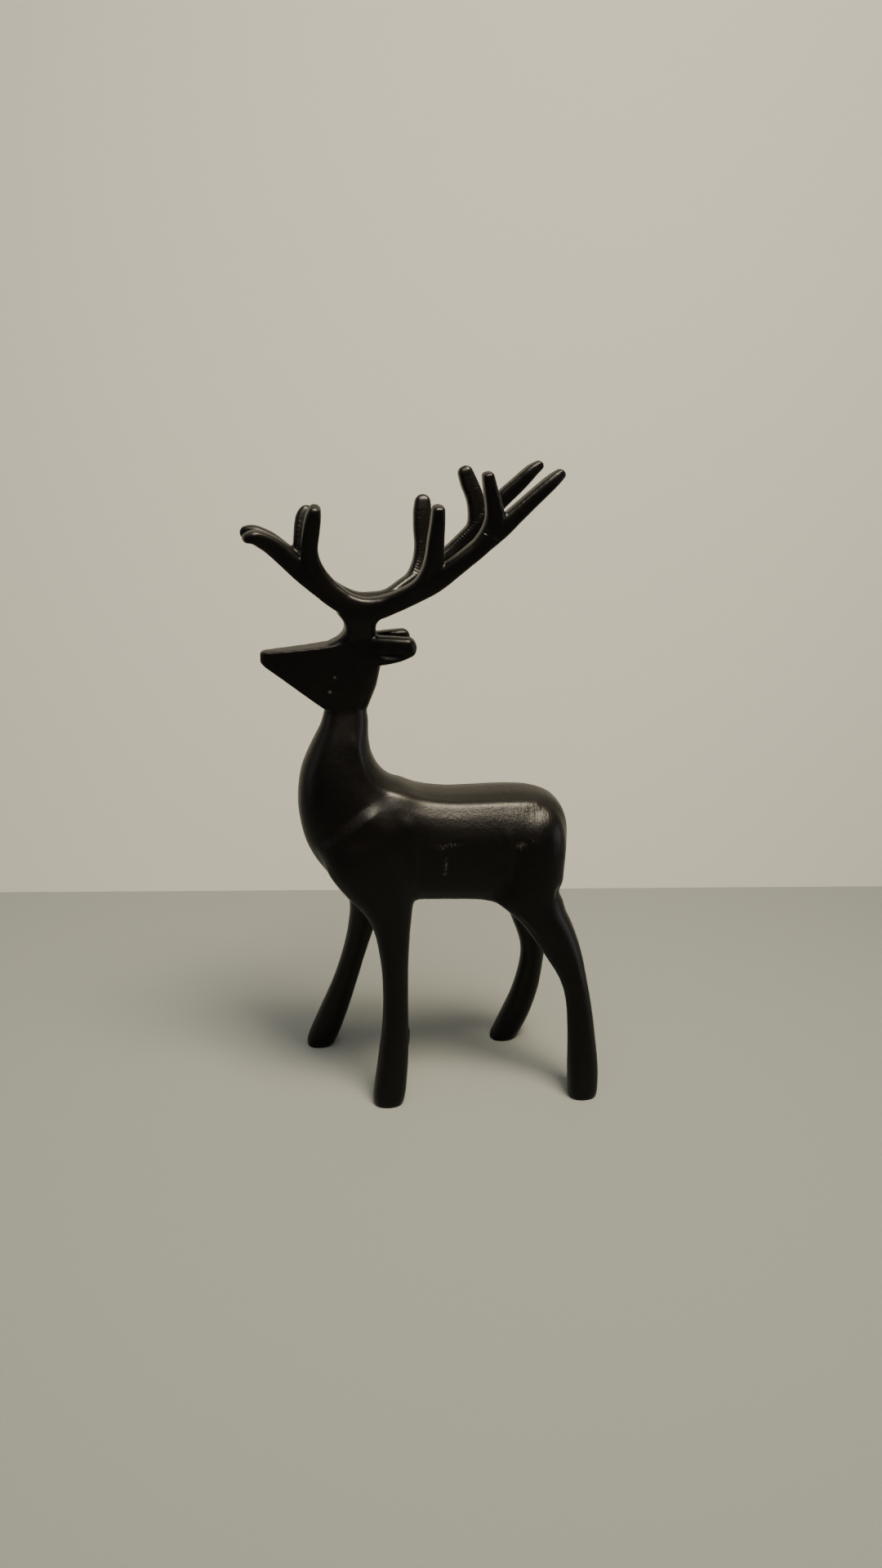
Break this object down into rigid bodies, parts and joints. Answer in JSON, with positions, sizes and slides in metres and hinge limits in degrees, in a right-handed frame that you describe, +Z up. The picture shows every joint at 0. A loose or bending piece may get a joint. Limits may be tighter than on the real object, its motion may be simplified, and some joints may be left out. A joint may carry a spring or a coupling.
{
  "type": "elk figurine",
  "caption": "Slender standing elk ornament with a flat wedge head and swept branching antlers, cast in one piece in satin black resin, resting on flat-cut feet.",
  "frame": {"origin": "centre of the figurine's box in plan, at the height of the flat undersides of its feet", "axes": "+Z up, the animal looks along -X, its left flank faces -Y"},
  "size_m": [0.1086, 0.055, 0.201],
  "materials": {
    "satin_black_resin": "satin black paint with a slight warm brown tint over cast resin, gently rippled, with thin worn light edges"
  },
  "bodies": {
    "root": {"elk_figurine": "satin_black_resin"}
  },
  "joints": []
}
